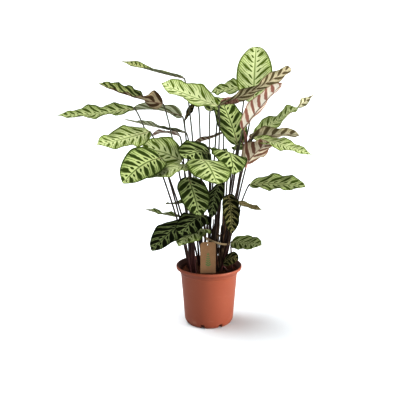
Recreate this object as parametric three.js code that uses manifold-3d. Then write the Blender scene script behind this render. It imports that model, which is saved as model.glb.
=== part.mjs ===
// Potted calathea: a tapered plastic nursery pot filled with soil, petioles that rise from several
// shoots, broad waved leaf blades, and a kraft tag hung from a jute tie round the stems.
// Millimetres, +Z up. The origin is the middle of the pot's flat bottom.
// The front of the plant faces -Y.

import * as THREE from 'three';
import { mergeVertices } from 'three/addons/utils/BufferGeometryUtils.js';
import Module from 'manifold-3d';

const wasm = await Module();
wasm.setup();

// Gap kept between pieces that rest on each other.
const SEAT = 0.35;

// Pot.
const POT_HEIGHT = 191;
const RIM_RADIUS = 105;
const LIP_HEIGHT = 10;
const FOOT_RADIUS = 77;
const WALL_TOP_RADIUS = 91.5;
const WALL = 2.2;
const COLLAR_HEIGHT = 16;
const COLLAR_STEP = 2.5;
const POT_EDGE = 1.5;
const POT_SIDES = 32;
const NOTCHES = 8;
const NOTCH_WIDTH = 12;
const NOTCH_HEIGHT = 5;
const NOTCH_DEPTH = 6;

// Soil.
const SOIL_TOP = 172;
const SOIL_SIDES = 32;
const SOIL_EDGE = 7;
const SOIL_RISES = [
  { x: 0, y: 0, height: 7, spread: 36 },
  { x: 62, y: -54, height: 6, spread: 12 },
];
const SOIL_LUMPS = 1.2;
const HOLE_SIDES = 14;

// Stems.
const STEM_FOOT = 3.8;
const STEM_WAIST = 2.2;
const STEM_TOP = 1.6;
const STEM_WAIST_AT = 0.3;
const STEM_TOP_AT = 0.8;
const PULVINUS = 2.2;
const PULVINUS_AT = 0.93;
const STEM_SIDES = 5;
const STEM_STEPS = 7;
const STUB_DEPTH = 18;
const STUB_SIDES = 10;
const SHEATH_HEIGHT = 12;

// Blades.
const BLADE_THICKNESS = 0.8;
const BLADE_STEPS = 10;
const BLADE_ACROSS = [-1, -0.6, 0, 0.6, 1];
const BLADE_STALK = 1.6;
const BLADE_TIP = 0.8;

// Jute tie and tag.
const TIE_CENTRE = new THREE.Vector3(21, -1, 278);
const TIE_HALF_X = 43;
const TIE_HALF_Y = 50;
const TIE_DROP = 15;
const TIE_STEPS = 26;
const CORD_RADIUS = 1.5;
const CORD_SIDES = 5;
const KNOT_AT = 0.64;
const KNOT_RADIUS = 3.6;
const LOOP_RADIUS = 1.1;
const LOOP_STEPS = 20;
const TAG_WIDTH = 48;
const TAG_HEIGHT = 97;
const TAG_THICKNESS = 0.8;
const TAG_HOLE = 2.6;
const TAG_HOLE_DOWN = 8;
const TAG_CLIP = 6;
const TAG_TOP = new THREE.Vector3(-4, -64, 283);
const TAG_LEAN = 0.12;

// Growing points: name, place in the soil, radius of the sheathed foot.
const shoots = {
  left_front: { at: [-46, -28], foot: 12 },
  left_back: { at: [-50, 12], foot: 13 },
  back: { at: [-18, 42], foot: 13 },
  middle_front: { at: [-1, -13], foot: 11 },
  middle_back: { at: [10, 27], foot: 9 },
  right_front: { at: [28, -15], foot: 12 },
  right_back: { at: [37, 14], foot: 12 },
  right_edge: { at: [66, -28], foot: 9 },
};

// Leaves. Each blade runs from base to tip. Width, arch (rise of the midrib) and bend (sideways
// bow of the midrib) are lengths. Roll turns the blade about its midrib, right-hand edge up seen
// from the base, and twist is how much that roll grows from base to tip. Fold lifts both halves
// from the midrib. Waves counts the ripples of the margin, ripple is their height.
const columns = ['name', 'shoot', 'base', 'tip', 'width', 'arch', 'bend', 'roll', 'twist', 'fold',
  'waves', 'ripple', 'phase'];
const leaves = [
  ['leaf_top_1', 'right_back', [130, 45, 703], [142, 135, 874], 108, 8, 0, 0, 0, 4, 2, 4, 0.1],
  ['leaf_top_2', 'middle_front', [33, -20, 708], [236, -60, 816], 90, 6, 0, 16, -10, -10, 2.5, 8, 0.2],
  ['leaf_top_3', 'back', [-79, 42, 765], [-275, 90, 833], 84, 8, 0, -2, 14, 4, 2, 8, 0.6],
  ['leaf_top_4', 'middle_front', [25, -36, 700], [-143, -10, 768], 106, 10, 0, 26, 0, 4, 2, 7, 0.3],
  ['leaf_top_5', 'right_back', [112, 120, 748], [7, 150, 735], 90, 10, 0, 30, 0, 0, 2, 7, 0.4],
  ['leaf_top_6', 'back', [-34, 62, 688], [-93, 122, 738], 70, 10, 0, 0, 0, 4, 2, 4, 0.1],
  ['leaf_top_7', 'middle_back', [3, 75, 674], [60, 165, 722], 76, 12, 0, 0, 0, 4, 2, 4, 0.7],
  ['leaf_left_1', 'left_back', [-153, -5, 693], [-331, -50, 768], 84, 12, 0, -2, 56, 4, 2, 9, 0.5],
  ['leaf_left_2', 'left_back', [-233, 20, 660], [-466, -20, 662], 92, 18, 0, 14, 0, 0, 2.5, 12, 0.1],
  ['leaf_left_3', 'left_back', [-97, 40, 659], [-270, 110, 668], 80, 22, 0, -14, 20, 0, 2, 8, 0.3],
  ['leaf_left_4', 'back', [-74, 62, 602], [-279, 110, 643], 70, 14, 0, -4, 0, 0, 2, 6, 0.3],
  ['leaf_left_5', 'left_back', [-94, 55, 596], [-186, 45, 605], 54, 20, 0, -14, 0, 0, 1.5, 5, 0.3],
  ['leaf_left_6', 'left_back', [-186, 15, 608], [-328, -115, 602], 106, 8, 0, 30, 0, 4, 2, 8, 0.2],
  ['leaf_left_7', 'left_front', [-140, -95, 547], [-234, -265, 509], 118, 16, 0, 40, 0, 18, 1.5, 5, 0.2],
  ['leaf_left_8', 'left_front', [-85, -36, 531], [-206, -38, 573], 98, 10, 0, 36, 0, 8, 2, 6, 0.2],
  ['leaf_left_9', 'left_front', [-68, -90, 527], [-163, -185, 515], 76, 4, 0, 6, 0, 0, 2, 6, 0.6],
  ['leaf_left_10', 'back', [-78, 100, 644], [-22, 172, 714], 70, 6, 0, 46, 0, 4, 2, 4, 0.3],
  ['leaf_front_1', 'middle_front', [2, -28, 558], [-78, -140, 563], 96, 14, 0, 26, 0, 0, 2, 6, 0.2],
  ['leaf_front_2', 'middle_front', [-26, -125, 550], [17, -305, 514], 122, 14, 0, 4, 0, -4, 2, 5, 0.1],
  ['leaf_front_3', 'right_front', [48, -34, 562], [58, -155, 514], 85, 26, 0, 17, 0, -4, 2, 5, 0.6],
  ['leaf_front_4', 'left_front', [-67, -70, 489], [-30, -180, 395], 96, 18, 0, 0, 0, 6, 1.5, 5, 0.3],
  ['leaf_front_5', 'middle_front', [32, -50, 467], [-2, -118, 392], 60, 16, 0, -30, 0, 0, 1.5, 4, 0.3],
  ['leaf_front_6', 'right_front', [58, -55, 430], [76, -130, 341], 64, 20, 0, 0, 0, 6, 1.5, 4, 0.3],
  ['leaf_front_7', 'middle_back', [42, 32, 615], [-52, 0, 584], 58, 4, 0, -26, -24, 0, 1.5, 5, 0.3],
  ['leaf_middle_1', 'right_front', [86, -40, 582], [46, 60, 716], 92, 8, 0, 0, 0, 6, 2, 3, 0.2],
  ['leaf_back_1', 'right_back', [58, 70, 544], [-8, 140, 543], 66, 10, 0, -10, 0, 0, 2, 6, 0.3],
  ['leaf_back_2', 'right_back', [82, 88, 548], [148, 160, 547], 64, 10, 0, 0, 0, 0, 2, 6, 0.3],
  ['leaf_right_1', 'right_front', [100, -58, 632], [207, -130, 773], 86, 4, 0, 0, 0, 6, 2, 4, 0.2],
  ['leaf_right_2', 'right_back', [140, 30, 607], [329, 85, 723], 84, 6, 0, -12, 32, 0, 2.5, 8, 0.2],
  ['leaf_right_3', 'right_back', [129, 10, 600], [265, -70, 629], 76, 6, 0, 16, 10, 0, 2, 5, 0.2],
  ['leaf_right_4', 'right_front', [133, -60, 608], [290, -160, 573], 92, 10, 0, -20, 0, 0, 2.5, 9, 0.1],
  ['leaf_right_5', 'right_front', [115, -40, 529], [166, -98, 582], 94, 8, 0, 6, 0, 12, 2, 6, 0.1],
  ['leaf_right_6', 'right_back', [128, 0, 443], [292, -65, 473], 96, 14, 0, -20, 0, 0, 2.5, 9, 0.3],
  ['leaf_low_1', 'right_back', [90, -10, 404], [161, -80, 390], 44, 8, 0, 8, 0, 0, 1.5, 4, 0.3],
  ['leaf_low_2', 'back', [-79, 42, 337], [-206, 30, 365], 56, 8, 0, 0, 0, 0, 2.5, 7, 0.3],
  ['leaf_low_3', 'back', [-67, 50, 380], [-143, 120, 365], 46, 8, 0, 0, 0, 0, 1.5, 4, 0.3],
  ['leaf_low_4', 'left_front', [-94, -60, 349], [-175, -160, 290], 84, 14, 0, 10, 0, 4, 1.5, 5, 0.3],
  ['leaf_low_5', 'middle_front', [-11, -60, 367], [-82, -168, 340], 88, 14, 0, 10, 0, 0, 2, 6, 0.3],
  ['leaf_low_6', 'middle_front', [-6, -55, 316], [-92, -165, 299], 84, 12, 0, 0, 0, 0, 2, 6, 0.6],
  ['leaf_low_7', 'right_edge', [72, -8, 262], [159, -95, 295], 80, 2, 0, -14, 0, 0, 2, 8, 0.3],
  ['leaf_low_8', 'right_edge', [46, -45, 210], [87, -70, 243], 58, 10, 0, -35, 0, -6, 1.5, 4, 0.3],
].map((row) => Object.fromEntries(row.map((value, i) => [columns[i], value])));

const UP = new THREE.Vector3(0, 0, 1);
const RADIAN = Math.PI / 180;

const vector = (list) => new THREE.Vector3(...list);

const smooth = (from, to, x) => THREE.MathUtils.smoothstep(x, from, to);

// Share of the half width at a place along the blade: a broad oval with a short point.
function outline(along) {
  const round = Math.sin(Math.PI * along ** 0.9);
  return Math.max(round, 0) ** (0.55 + 0.3 * smooth(0.88, 1, along));
}

// Surface of one blade. Returns the middle-surface point at a place along (0 at the base, 1 at the
// tip) and across (-1 at the left margin, 1 at the right), and the direction in which it starts.
function bladeShape(leaf) {
  const base = vector(leaf.base);
  const chord = vector(leaf.tip).sub(base);
  const ahead = chord.clone().normalize();
  const up = UP.clone().addScaledVector(ahead, -UP.dot(ahead)).normalize();
  const side = ahead.clone().cross(up);
  const bow = up.clone().multiplyScalar(4 * leaf.arch).addScaledVector(side, 4 * leaf.bend);

  const midrib = (along) => base.clone().addScaledVector(chord, along)
    .addScaledVector(bow, along * (1 - along));
  const heading = (along) => chord.clone().addScaledVector(bow, 1 - 2 * along).normalize();

  const point = (along, across) => {
    const forward = heading(along);
    const normal = up.clone().addScaledVector(forward, -up.dot(forward)).normalize();
    const right = forward.clone().cross(normal);
    const roll = (leaf.roll + leaf.twist * (along - 0.5)) * RADIAN;
    const lateral = right.clone().multiplyScalar(Math.cos(roll)).addScaledVector(normal, Math.sin(roll));
    const lift = normal.clone().multiplyScalar(Math.cos(roll)).addScaledVector(right, -Math.sin(roll));
    const edge = Math.abs(across);
    const stalk = THREE.MathUtils.lerp(BLADE_STALK, BLADE_TIP, along);
    const half = stalk + (leaf.width / 2 - stalk) * outline(along);
    const fold = leaf.fold * RADIAN;
    const swell = Math.sin(Math.PI * along) ** 0.7;
    const wave = Math.sin(2 * Math.PI * (leaf.waves * along + leaf.phase) + 1.2 * across);
    return midrib(along)
      .addScaledVector(lateral, half * across * Math.cos(fold))
      .addScaledVector(lift, half * edge * Math.sin(fold) + leaf.ripple * edge ** 1.6 * swell * wave);
  };
  return { point, start: heading(0) };
}

// Rows of a blade lie closer together towards its base and tip.
function rowPlace(share) {
  return share - 0.075 * Math.sin(2 * Math.PI * share);
}

function indexed(positions, indices) {
  const geometry = new THREE.BufferGeometry();
  geometry.setAttribute('position', new THREE.Float32BufferAttribute(positions, 3));
  geometry.setIndex(indices);
  return geometry;
}

// Closed blade of even thickness: an upper and a lower grid, split alike, joined round the margin.
function bladeGeometry(leaf) {
  const { point } = bladeShape(leaf);
  const lastRow = BLADE_STEPS;
  const lastColumn = BLADE_ACROSS.length - 1;
  const count = (lastRow + 1) * (lastColumn + 1);
  const step = 0.01;
  const positions = [];
  for (const face of [1, -1]) {
    for (let row = 0; row <= lastRow; row += 1) {
      const along = rowPlace(row / lastRow);
      for (const across of BLADE_ACROSS) {
        const behind = point(Math.max(along - step, 0), across);
        const ahead = point(Math.min(along + step, 1), across).sub(behind);
        const right = point(along, across + step).sub(point(along, across - step));
        const normal = right.cross(ahead).normalize();
        const vertex = point(along, across).addScaledVector(normal, face * BLADE_THICKNESS / 2);
        positions.push(...vertex);
      }
    }
  }
  const at = (row, column) => row * (lastColumn + 1) + column;
  const indices = [];
  for (let row = 0; row < lastRow; row += 1) {
    for (let column = 0; column < lastColumn; column += 1) {
      const a = at(row, column);
      const b = at(row, column + 1);
      const c = at(row + 1, column + 1);
      const d = at(row + 1, column);
      const left = column < lastColumn / 2;
      const pair = left ? [[a, b, d], [b, c, d]] : [[a, b, c], [a, c, d]];
      for (const [i, j, k] of pair) {
        indices.push(i, j, k);
        indices.push(i + count, k + count, j + count);
      }
    }
  }
  const margin = [];
  for (let column = 0; column < lastColumn; column += 1) {
    margin.push(at(0, column));
  }
  for (let row = 0; row < lastRow; row += 1) {
    margin.push(at(row, lastColumn));
  }
  for (let column = lastColumn; column > 0; column -= 1) {
    margin.push(at(lastRow, column));
  }
  for (let row = lastRow; row > 0; row -= 1) {
    margin.push(at(row, 0));
  }
  margin.forEach((a, i) => {
    const b = margin[(i + 1) % margin.length];
    indices.push(a, a + count, b);
    indices.push(b, a + count, b + count);
  });
  return indexed(positions, indices);
}

// Corners of a regular polygon round a centre, as one flat list.
function circle(centre, first, second, radius, sides) {
  const corners = [];
  for (let i = 0; i < sides; i += 1) {
    const angle = 2 * Math.PI * i / sides;
    corners.push(...centre.clone().addScaledVector(first, radius * Math.cos(angle))
      .addScaledVector(second, radius * Math.sin(angle)));
  }
  return corners;
}

// Closed tube along a curve, with a radius that follows the way along it.
function tubeGeometry(curve, places, radiusAt, sides) {
  const rings = places.length;
  let normal = new THREE.Vector3(1, 0, 0);
  const positions = [];
  for (const place of places) {
    const heading = curve.getTangent(place);
    normal = normal.clone().addScaledVector(heading, -normal.dot(heading)).normalize();
    const other = heading.clone().cross(normal);
    positions.push(...circle(curve.getPoint(place), normal, other, radiusAt(place), sides));
  }
  positions.push(...curve.getPoint(places[0]), ...curve.getPoint(places[rings - 1]));
  const indices = [];
  for (let ring = 0; ring < rings - 1; ring += 1) {
    for (let i = 0; i < sides; i += 1) {
      const a = ring * sides + i;
      const b = ring * sides + (i + 1) % sides;
      indices.push(a, b, a + sides, b, b + sides, a + sides);
    }
  }
  for (let i = 0; i < sides; i += 1) {
    const next = (i + 1) % sides;
    indices.push(rings * sides, next, i);
    indices.push(rings * sides + 1, (rings - 1) * sides + i, (rings - 1) * sides + next);
  }
  return indexed(positions, indices);
}

function toSolid(geometry) {
  const bare = geometry.clone();
  bare.deleteAttribute('normal');
  bare.deleteAttribute('uv');
  const merged = mergeVertices(bare, 1e-4);
  const vertProperties = new Float32Array(merged.attributes.position.array);
  const triVerts = new Uint32Array(merged.index.array);
  return new wasm.Manifold(new wasm.Mesh({ numProp: 3, vertProperties, triVerts }));
}

function toGeometry(solid) {
  const mesh = solid.getMesh();
  return indexed(mesh.vertProperties, Array.from(mesh.triVerts));
}

// Solid turned about the Z axis from a closed outline of [radius, height] pairs.
function turned(profile, sides) {
  const outlinePoints = profile.map(([radius, height]) => new THREE.Vector2(radius, height));
  const geometry = new THREE.LatheGeometry(outlinePoints, sides);
  geometry.rotateX(Math.PI / 2);
  return geometry;
}

// Inner radius of the pot's wall at a height.
function innerRadius(height) {
  const share = height / (POT_HEIGHT - LIP_HEIGHT);
  return THREE.MathUtils.lerp(FOOT_RADIUS, WALL_TOP_RADIUS, share) - WALL;
}

function potGeometry() {
  const collar = POT_HEIGHT - LIP_HEIGHT - COLLAR_HEIGHT;
  const outer = (height) => innerRadius(height) + WALL;
  const lip = POT_HEIGHT - LIP_HEIGHT;
  const profile = [
    [0, 0],
    [FOOT_RADIUS - 2 * POT_EDGE, 0],
    [outer(2 * POT_EDGE), 2 * POT_EDGE],
    [outer(collar), collar],
    [outer(collar) + COLLAR_STEP, collar + COLLAR_STEP],
    [outer(lip) + COLLAR_STEP, lip],
    [RIM_RADIUS - POT_EDGE, lip],
    [RIM_RADIUS, lip + POT_EDGE],
    [RIM_RADIUS, POT_HEIGHT - 2 * POT_EDGE],
    [RIM_RADIUS - POT_EDGE, POT_HEIGHT - POT_EDGE / 2],
    [RIM_RADIUS - 3 * POT_EDGE, POT_HEIGHT],
    [innerRadius(lip) + COLLAR_STEP, POT_HEIGHT - 3 * POT_EDGE],
    [innerRadius(collar) + COLLAR_STEP, collar + 1.5 * COLLAR_STEP],
    [innerRadius(collar), collar + 0.5 * COLLAR_STEP],
    [innerRadius(2 * WALL), 2 * WALL],
    [FOOT_RADIUS - 2 * WALL, WALL],
    [0, WALL],
  ];
  let pot = toSolid(turned(profile, POT_SIDES));
  for (let i = 0; i < NOTCHES; i += 1) {
    const notch = new THREE.BoxGeometry(2 * NOTCH_DEPTH, NOTCH_WIDTH, 2 * NOTCH_HEIGHT);
    notch.translate(FOOT_RADIUS, 0, 0);
    notch.rotateZ(2 * Math.PI * (i + 0.5) / NOTCHES);
    pot = pot.subtract(toSolid(notch));
  }
  return toGeometry(pot);
}

// Height of the soil's surface: a low mound in the middle, a small heap at the front right, lumps.
function soilHeight(x, y) {
  let height = SOIL_TOP + SOIL_LUMPS * Math.sin(x / 9) * Math.cos(y / 11);
  for (const rise of SOIL_RISES) {
    const away = ((x - rise.x) ** 2 + (y - rise.y) ** 2) / (2 * rise.spread ** 2);
    height += rise.height * Math.exp(-away);
  }
  return height;
}

function soilGeometry() {
  const floor = WALL + SEAT;
  const shoulder = SOIL_TOP - SOIL_EDGE;
  const edge = innerRadius(shoulder) - SEAT;
  const profile = [
    [0, floor],
    [FOOT_RADIUS - 3 * WALL, floor],
    [innerRadius(3 * WALL) - SEAT, 3 * WALL],
    [edge, shoulder],
    [edge, SOIL_TOP - 1],
    [0.85 * edge, SOIL_TOP],
    [0.6 * edge, SOIL_TOP],
    [0.32 * edge, SOIL_TOP],
    [0, SOIL_TOP],
  ];
  const geometry = turned(profile, SOIL_SIDES);
  const position = geometry.attributes.position;
  for (let i = 0; i < position.count; i += 1) {
    const x = position.getX(i);
    const y = position.getY(i);
    if (position.getZ(i) >= SOIL_TOP) {
      position.setZ(i, soilHeight(x, y));
    }
  }
  let soil = toSolid(geometry);
  for (const shoot of Object.values(shoots)) {
    const radius = shoot.foot + 2 * SEAT;
    const height = 3 * STUB_DEPTH;
    const hole = new THREE.CylinderGeometry(radius, radius, height, HOLE_SIDES);
    hole.rotateX(Math.PI / 2);
    hole.translate(shoot.at[0], shoot.at[1], SOIL_TOP - STUB_DEPTH + height / 2);
    soil = soil.subtract(toSolid(hole));
  }
  return toGeometry(soil);
}

// Petiole of a leaf: it leaves the foot of its shoot steeply and turns into the midrib at the top.
function petioleCurve(leaf) {
  const shoot = shoots[leaf.shoot];
  const { start } = bladeShape(leaf);
  const end = vector(leaf.base).addScaledVector(start, -SEAT);
  const lean = new THREE.Vector3(end.x - shoot.at[0], end.y - shoot.at[1], 0);
  const offset = lean.clone().setLength(Math.min(shoot.foot - 5, lean.length() * 0.12));
  const root = new THREE.Vector3(shoot.at[0], shoot.at[1], SOIL_TOP - SHEATH_HEIGHT / 2).add(offset);
  const rise = end.z - root.z;
  const first = new THREE.Vector3(root.x + 0.1 * lean.x, root.y + 0.1 * lean.y, root.z + 0.5 * rise);
  const second = end.clone().addScaledVector(start, -Math.min(0.13 * rise + 8, 45));
  return new THREE.CubicBezierCurve3(root, first, second, end);
}

function stemRadius(place) {
  if (place > PULVINUS_AT) {
    return PULVINUS;
  }
  if (place < STEM_WAIST_AT) {
    return THREE.MathUtils.lerp(STEM_FOOT, STEM_WAIST, place / STEM_WAIST_AT);
  }
  const share = (place - STEM_WAIST_AT) / (STEM_TOP_AT - STEM_WAIST_AT);
  return THREE.MathUtils.lerp(STEM_WAIST, STEM_TOP, Math.min(share, 1));
}

// Petioles of one growing point, joined in a sheathed foot that stands in the soil.
function shootGeometry(name) {
  const { at, foot } = shoots[name];
  const bottom = SOIL_TOP - STUB_DEPTH + SEAT;
  const profile = [
    [0, bottom],
    [foot, bottom],
    [foot, SOIL_TOP],
    [0.8 * foot, SOIL_TOP + SHEATH_HEIGHT / 2],
    [0.45 * foot, SOIL_TOP + SHEATH_HEIGHT],
    [0, SOIL_TOP + SHEATH_HEIGHT],
  ];
  const stub = turned(profile, STUB_SIDES);
  stub.translate(at[0], at[1], 0);
  let solid = toSolid(stub);
  const places = [];
  for (let i = 0; i <= STEM_STEPS; i += 1) {
    places.push(1 - (1 - i / STEM_STEPS) ** 1.7);
  }
  for (const leaf of leaves.filter((each) => each.shoot === name)) {
    const stem = tubeGeometry(petioleCurve(leaf), places, stemRadius, STEM_SIDES);
    solid = solid.add(toSolid(stem));
  }
  return toGeometry(solid);
}

// Ellipse round the gathered stems, higher at its left end.
class TieRing extends THREE.Curve {
  constructor(lift) {
    super();
    this.lift = lift;
  }

  getPoint(place) {
    const angle = 2 * Math.PI * place;
    const x = TIE_CENTRE.x + TIE_HALF_X * Math.cos(angle);
    const y = TIE_CENTRE.y + TIE_HALF_Y * Math.sin(angle);
    const z = TIE_CENTRE.z - TIE_DROP * Math.cos(angle) + this.lift;
    return new THREE.Vector3(x, y, z);
  }
}

// Closed ring of round section along a closed curve.
function ringGeometry(curve, steps, radius, sides) {
  const positions = [];
  for (let ring = 0; ring < steps; ring += 1) {
    const heading = curve.getTangent(ring / steps);
    const outward = heading.clone().cross(UP).normalize();
    const other = heading.clone().cross(outward);
    positions.push(...circle(curve.getPoint(ring / steps), outward, other, radius, sides));
  }
  const indices = [];
  for (let ring = 0; ring < steps; ring += 1) {
    for (let i = 0; i < sides; i += 1) {
      const a = ring * sides + i;
      const b = ring * sides + (i + 1) % sides;
      const c = ((ring + 1) % steps) * sides + i;
      const d = ((ring + 1) % steps) * sides + (i + 1) % sides;
      indices.push(a, b, c, b, d, c);
    }
  }
  return indexed(positions, indices);
}

// Point on the tag, measured across it and down from its top edge.
function tagPoint(across, down) {
  return new THREE.Vector3(
    TAG_TOP.x + across,
    TAG_TOP.y - down * Math.sin(TAG_LEAN),
    TAG_TOP.z - down * Math.cos(TAG_LEAN),
  );
}

// Two turns of cord round the stems, a knot, and a loop through the hole of the tag.
function tieGeometry() {
  const apart = CORD_RADIUS + SEAT / 2;
  const knot = new TieRing(0).getPoint(KNOT_AT);
  const hole = tagPoint(0, TAG_HOLE_DOWN);
  const loop = new THREE.CatmullRomCurve3([
    knot,
    knot.clone().add(new THREE.Vector3(-4, -10, 2)),
    hole.clone().add(new THREE.Vector3(-1, -2, 11)),
    hole.clone().add(new THREE.Vector3(-0.5, -5, 5)),
    hole.clone().add(new THREE.Vector3(0, 0, 0.9)),
    hole.clone().add(new THREE.Vector3(0.5, 5, 4)),
    knot.clone().add(new THREE.Vector3(4, -9, -2)),
    knot,
  ]);
  const places = [];
  for (let i = 0; i <= LOOP_STEPS; i += 1) {
    places.push(i / LOOP_STEPS);
  }
  const ball = new THREE.IcosahedronGeometry(KNOT_RADIUS, 1);
  ball.translate(...knot);
  const parts = [
    ringGeometry(new TieRing(-apart), TIE_STEPS, CORD_RADIUS, CORD_SIDES),
    ringGeometry(new TieRing(apart), TIE_STEPS, CORD_RADIUS, CORD_SIDES),
    tubeGeometry(loop, places, () => LOOP_RADIUS, CORD_SIDES),
    ball,
  ];
  return toGeometry(wasm.Manifold.union(parts.map(toSolid)));
}

function tagGeometry() {
  const half = TAG_WIDTH / 2;
  const card = new THREE.Shape();
  card.moveTo(-half, -TAG_HEIGHT);
  card.lineTo(half, -TAG_HEIGHT);
  card.lineTo(half, -TAG_CLIP);
  card.lineTo(half - TAG_CLIP, 0);
  card.lineTo(-half + TAG_CLIP, 0);
  card.lineTo(-half, -TAG_CLIP);
  card.closePath();
  const hole = new THREE.Path();
  hole.absarc(0, -TAG_HOLE_DOWN, TAG_HOLE, 0, 2 * Math.PI, true);
  card.holes.push(hole);
  const settings = { depth: TAG_THICKNESS, bevelEnabled: false, curveSegments: 8 };
  const geometry = new THREE.ExtrudeGeometry(card, settings);
  geometry.translate(0, 0, -TAG_THICKNESS / 2);
  geometry.rotateX(Math.PI / 2);
  geometry.rotateX(-TAG_LEAN);
  geometry.translate(TAG_TOP.x, TAG_TOP.y, TAG_TOP.z);
  return geometry;
}

function material(colour, roughness) {
  return new THREE.MeshStandardMaterial({ color: colour, roughness, metalness: 0 });
}

const plant = new THREE.Group();

function place(name, geometry, colour, roughness) {
  const mesh = new THREE.Mesh(geometry, material(colour, roughness));
  mesh.name = name;
  plant.add(mesh);
}

place('pot', potGeometry(), 0xb8633f, 0.5);
place('soil', soilGeometry(), 0x2b1a12, 0.95);
place('tag', tagGeometry(), 0x9a724e, 0.85);
place('jute_tie', tieGeometry(), 0xb59a72, 0.9);
for (const name of Object.keys(shoots)) {
  place(`shoot_${name}`, shootGeometry(name), 0x3a2a2c, 0.5);
}
for (const leaf of leaves) {
  const dark = leaf.base[2] < 500;
  place(leaf.name, bladeGeometry(leaf), dark ? 0x5d7f33 : 0x9cc455, 0.45);
}

export default plant;
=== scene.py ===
# Potted calathea: the looks of the plant, its pot, soil, tag and tie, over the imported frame.
# Metres, +Z up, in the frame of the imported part. The front of the plant faces -Y.

import random
from math import cos, exp, pi, radians, sin, sqrt, tau
from types import SimpleNamespace

import bpy
from bpy import ops
from mathutils import Matrix, Vector, noise


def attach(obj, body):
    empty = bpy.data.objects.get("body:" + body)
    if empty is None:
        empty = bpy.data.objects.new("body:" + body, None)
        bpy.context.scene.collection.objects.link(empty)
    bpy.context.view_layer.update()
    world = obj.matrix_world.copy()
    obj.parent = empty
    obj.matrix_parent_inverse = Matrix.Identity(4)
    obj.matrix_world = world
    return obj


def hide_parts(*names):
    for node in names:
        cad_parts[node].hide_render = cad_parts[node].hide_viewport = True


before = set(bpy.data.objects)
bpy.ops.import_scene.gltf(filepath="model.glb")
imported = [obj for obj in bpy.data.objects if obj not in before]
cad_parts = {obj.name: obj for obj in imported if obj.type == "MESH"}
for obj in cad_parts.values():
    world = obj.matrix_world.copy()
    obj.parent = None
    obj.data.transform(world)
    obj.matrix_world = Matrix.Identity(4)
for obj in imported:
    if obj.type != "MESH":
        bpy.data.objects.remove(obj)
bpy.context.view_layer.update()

MM = 0.001
SEED = 41
STUDIO_LIGHT = 1.65
SKY_LIGHT = 0.25
VIEW_EXPOSURE = 0.3
VIEW_GAMMA = 0.72

# Sizes that the solids have too, in millimetres.
SEAT = 0.35
POT_HEIGHT = 191
RIM_RADIUS = 105
LIP_HEIGHT = 10
FOOT_RADIUS = 77
WALL_TOP_RADIUS = 91.5
WALL = 2.2
COLLAR_HEIGHT = 16
COLLAR_STEP = 2.5
NOTCHES = 8
NOTCH_TURN = 0.64
NOTCH_WIDTH = 13
NOTCH_HEIGHT = 12
NOTCH_DEPTH = 14
SOIL_TOP = 172
SOIL_BOTTOM = 60
SOIL_EDGE = 7
STUB_DEPTH = 18
SHEATH_HEIGHT = 12
STEM_FOOT = 2.9
STEM_WAIST = 2.6
STEM_TOP = 2.1
STEM_WAIST_AT = 0.3
STEM_TOP_AT = 0.8
PULVINUS = 2.5
BLADE_THICKNESS = 0.7
BLADE_STALK = 1.6
BLADE_TIP = 0.8
TIE_CENTRE = (21, -1, 278)
TIE_HALF_X = 43
TIE_HALF_Y = 50
TIE_DROP = 15
CORD_RADIUS = 1.5
LOOP_RADIUS = 1.1
KNOT_AT = 0.64
TAG_WIDTH = 48
TAG_HEIGHT = 97
TAG_THICKNESS = 0.8
TAG_HOLE = 2.6
TAG_HOLE_DOWN = 8
TAG_CLIP = 6
TAG_TOP = (-4, -64, 283)
TAG_LEAN = 0.12

# Fineness and number of the pieces.
BLADE_ROWS = 56
BLADE_COLUMNS = 24
STEM_POINTS = 30
SHEATH_POINTS = 6
STALK_POINTS = 6
RIB_POINTS = 20
POT_SIDES = 128
SOIL_SIDES = 112
SOIL_RINGS = 34
CRUMBS = 420
TIE_POINTS = 260
KNOT_POINTS = 72
STRANDS = 3
STRAY_FIBRES = 90

# Growing points: place in the soil and radius of the sheathed foot.
SHOOTS = {
    "left_front": ((-46, -28), 12),
    "left_back": ((-50, 12), 13),
    "back": ((-18, 42), 13),
    "middle_front": ((-1, -13), 11),
    "middle_back": ((10, 27), 9),
    "right_front": ((28, -15), 12),
    "right_back": ((37, 14), 12),
    "right_edge": ((66, -28), 9),
}

# What old leaves have left: dry stalks at each shoot, how many and how long, and how far they lean
# to the right over their length; and dry sheaths: shoot, foot, tip, width and roll.
OLD_STALKS = {
    "left_front": (3, 70, -0.2),
    "left_back": (3, 80, -0.2),
    "back": (2, 80, -0.1),
    "middle_front": (11, 180, 0.07),
    "middle_back": (9, 190, 0.08),
    "right_front": (12, 225, 0.1),
    "right_back": (7, 190, 0.08),
}
OLD_SHEATHS = (
    ("right_front", (20, -24, 174), (36, -34, 410), 13, 200),
    ("right_front", (33, -24, 174), (58, -36, 380), 12, 150),
    ("right_front", (38, -16, 174), (66, -30, 330), 12, 170),
    ("middle_front", (8, -22, 174), (16, -26, 330), 11, 180),
    ("middle_front", (33, -22, 708), (90, -38, 712), 46, 85),
    ("right_front", (111, -44, 512), (100, -60, 640), 24, 10),
    ("right_front", (112, -46, 510), (124, -58, 612), 22, -30),
    ("right_front", (109, -40, 516), (94, -50, 604), 18, 40),
)

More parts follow.
